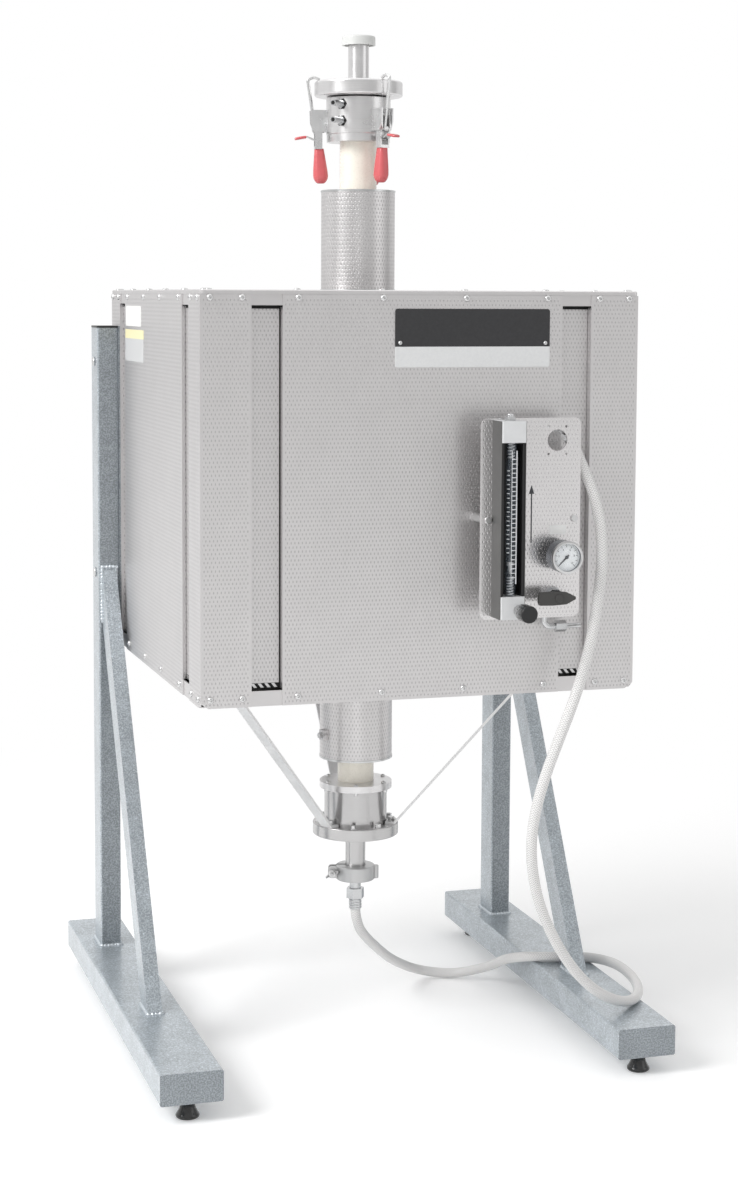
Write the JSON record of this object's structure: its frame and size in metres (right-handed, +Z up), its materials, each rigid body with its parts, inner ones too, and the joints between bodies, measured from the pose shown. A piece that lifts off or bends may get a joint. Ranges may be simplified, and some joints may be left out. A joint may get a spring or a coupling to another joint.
{
  "type": "vertical tube furnace",
  "caption": "Upright laboratory tube furnace on a floor stand: square sheet housing, ceramic work tube, latched upper head, clamped lower port and a gas panel.",
  "frame": {"origin": "on the floor, at the middle of the outline seen from above", "axes": "+Z up along the work tube, +X to the right seen from the gas panel, which faces -Y"},
  "size_m": [0.7135, 0.786, 1.3603],
  "materials": {
    "housing_sheet": "dimpled stainless sheet",
    "hidden_sheet": "plain sheet",
    "insulation": "ceramic fibre board",
    "heater": "grey heating element",
    "sleeve_steel": "satin sheet",
    "stand_paint": "speckled blue-grey metallic powder coat",
    "black_plastic": "matt black",
    "bolt_steel": "bright zinc",
    "head_steel": "turned stainless steel",
    "latch_steel": "polished stainless sheet",
    "grip_vinyl": "salmon-red dipped vinyl",
    "seal_rubber": "black rubber",
    "cap_plastic": "pale translucent plastic",
    "ceramic": "ivory ceramic",
    "clamp_aluminium": "cast aluminium",
    "plate_steel": "satin stainless plate",
    "meter_body": "white",
    "meter_glass": "clear glass",
    "float_metal": "polished metal",
    "knob_metal": "knurled metal with a black cap",
    "gauge_metal": "bright case",
    "needle_paint": "black",
    "valve_metal": "bright metal",
    "fitting_metal": "stainless steel",
    "hose_braid": "pale braid"
  },
  "bodies": {
    "base": {"bottom_frame": "housing_sheet", "top_cover": "housing_sheet", "front_panel": "housing_sheet", "rear_panel": "housing_sheet", "side_panels": "housing_sheet", "corner_panels": "housing_sheet", "inner_casing": "hidden_sheet", "insulation_body": "insulation", "heating_elements": "heater", "thermocouple": "fitting_metal", "upper_sleeve": "sleeve_steel", "lower_sleeve": "sleeve_steel", "left_foot_beam": "stand_paint", "right_foot_beam": "stand_paint", "left_post": "stand_paint", "right_post": "stand_paint", "braces": "stand_paint", "mounting_rails": "stand_paint", "post_end_plugs": "black_plastic", "stand_bolts": "bolt_steel", "upper_head_body": "head_steel", "clamp_rings": "head_steel", "lid": "head_steel", "seal_rings": "seal_rubber", "cooling_nipples": "fitting_metal", "lower_head_body": "head_steel", "lower_flange": "head_steel", "flange_straps": "sleeve_steel", "work_tube": "ceramic", "latch_bases": "latch_steel", "port_clamp": "clamp_aluminium", "hose_adapter": "fitting_metal", "gas_panel_plate": "plate_steel", "panel_standoffs": "bolt_steel", "flow_meter_blocks": "meter_body", "flow_meter_channel": "black_plastic", "flow_meter_tube": "meter_glass", "shutoff_valve": "valve_metal", "gauge_case": "gauge_metal", "gas_fittings": "fitting_metal", "gas_hose": "hose_braid"},
    "latch_lever_1": {"latch_lever_1": "grip_vinyl"},
    "latch_hook_1": {"latch_hook_1": "latch_steel"},
    "latch_catch_1": {"latch_catch_1": "latch_steel"},
    "latch_lever_2": {"latch_lever_2": "grip_vinyl"},
    "latch_hook_2": {"latch_hook_2": "latch_steel"},
    "latch_catch_2": {"latch_catch_2": "latch_steel"},
    "latch_lever_3": {"latch_lever_3": "grip_vinyl"},
    "latch_hook_3": {"latch_hook_3": "latch_steel"},
    "latch_catch_3": {"latch_catch_3": "latch_steel"},
    "levelling_foot_front_left": {"levelling_foot_front_left": "black_plastic"},
    "levelling_foot_front_right": {"levelling_foot_front_right": "black_plastic"},
    "levelling_foot_rear_left": {"levelling_foot_rear_left": "black_plastic"},
    "levelling_foot_rear_right": {"levelling_foot_rear_right": "black_plastic"},
    "port_cap": {"port_cap": "cap_plastic"},
    "wing_nut": {"wing_nut": "bolt_steel"},
    "valve_lever": {"valve_lever": "black_plastic"},
    "metering_knob": {"metering_knob": "knob_metal"},
    "flow_float": {"flow_float": "float_metal"},
    "gauge_needle": {"gauge_needle": "needle_paint"}
  },
  "joints": [
    {"name": "latch_1_lever_swing", "type": "hinge", "parent": "base", "child": "latch_lever_1", "pos_m": [-0.05466, 0.02614, 1.252], "axis": [0.1736, 0.9848, 0], "range_deg": [0, 90]},
    {"name": "latch_1_hook_swing", "type": "hinge", "parent": "latch_lever_1", "child": "latch_hook_1", "pos_m": [-0.05791, 0.02671, 1.234], "axis": [0.1736, 0.9848, 0], "range_deg": [-90, 0]},
    {"name": "latch_1_catch_lift", "type": "hinge", "parent": "latch_lever_1", "child": "latch_catch_1", "pos_m": [-0.05367, 0.02596, 1.221], "axis": [0.1736, 0.9848, 0], "range_deg": [0, 6], "stiffness_Nm_per_rad": 0.02},
    {"name": "latch_2_lever_swing", "type": "hinge", "parent": "base", "child": "latch_lever_2", "pos_m": [0.01898, -0.03565, 1.252], "axis": [-0.9397, -0.342, 0], "range_deg": [0, 90]},
    {"name": "latch_2_hook_swing", "type": "hinge", "parent": "latch_lever_2", "child": "latch_hook_2", "pos_m": [0.02011, -0.03875, 1.234], "axis": [-0.9397, -0.342, 0], "range_deg": [-90, 0]},
    {"name": "latch_2_catch_lift", "type": "hinge", "parent": "latch_lever_2", "child": "latch_catch_2", "pos_m": [0.01864, -0.03471, 1.221], "axis": [-0.9397, -0.342, 0], "range_deg": [0, 6], "stiffness_Nm_per_rad": 0.02},
    {"name": "latch_3_lever_swing", "type": "hinge", "parent": "base", "child": "latch_lever_3", "pos_m": [0.03567, 0.05901, 1.252], "axis": [0.766, -0.6428, 0], "range_deg": [0, 90]},
    {"name": "latch_3_hook_swing", "type": "hinge", "parent": "latch_lever_3", "child": "latch_hook_3", "pos_m": [0.0378, 0.06154, 1.234], "axis": [0.766, -0.6428, 0], "range_deg": [-90, 0]},
    {"name": "latch_3_catch_lift", "type": "hinge", "parent": "latch_lever_3", "child": "latch_catch_3", "pos_m": [0.03503, 0.05825, 1.221], "axis": [0.766, -0.6428, 0], "range_deg": [0, 6], "stiffness_Nm_per_rad": 0.02},
    {"name": "levelling_foot_front_left_height", "type": "slide", "parent": "base", "child": "levelling_foot_front_left", "axis": [0, 0, -1], "range_m": [0, 0.015]},
    {"name": "levelling_foot_front_right_height", "type": "slide", "parent": "base", "child": "levelling_foot_front_right", "axis": [0, 0, -1], "range_m": [0, 0.015]},
    {"name": "levelling_foot_rear_left_height", "type": "slide", "parent": "base", "child": "levelling_foot_rear_left", "axis": [0, 0, -1], "range_m": [0, 0.015]},
    {"name": "levelling_foot_rear_right_height", "type": "slide", "parent": "base", "child": "levelling_foot_rear_right", "axis": [0, 0, -1], "range_m": [0, 0.015]},
    {"name": "port_cap_pull", "type": "slide", "parent": "base", "child": "port_cap", "axis": [0, 0, 1], "range_m": [0, 0.03]},
    {"name": "wing_nut_spin", "type": "hinge", "parent": "base", "child": "wing_nut", "pos_m": [-0.0306, 0.02586, 0.213], "axis": [-0.2924, -0.9563, 0], "continuous": true},
    {"name": "valve_lever_turn", "type": "hinge", "parent": "base", "child": "valve_lever", "pos_m": [0.152, -0.346, 0.64], "axis": [0, 1, 0], "range_deg": [0, 90]},
    {"name": "metering_knob_turn", "type": "hinge", "parent": "base", "child": "metering_knob", "pos_m": [0.097, -0.356, 0.6275], "axis": [0, 1, 0], "range_deg": [0, 1080]},
    {"name": "flow_float_rise", "type": "slide", "parent": "base", "child": "flow_float", "axis": [0, 0, 1], "range_m": [0, 0.125]},
    {"name": "gauge_needle_turn", "type": "hinge", "parent": "base", "child": "gauge_needle", "pos_m": [0.1584, -0.3595, 0.6918], "axis": [0, 1, 0], "range_deg": [0, 270], "stiffness_Nm_per_rad": 0.0001}
  ],
  "couplings": [
    {"joint": "latch_1_hook_swing", "follows": "latch_1_lever_swing", "ratio": -1},
    {"joint": "latch_2_hook_swing", "follows": "latch_2_lever_swing", "ratio": -1},
    {"joint": "latch_3_hook_swing", "follows": "latch_3_lever_swing", "ratio": -1}
  ]
}
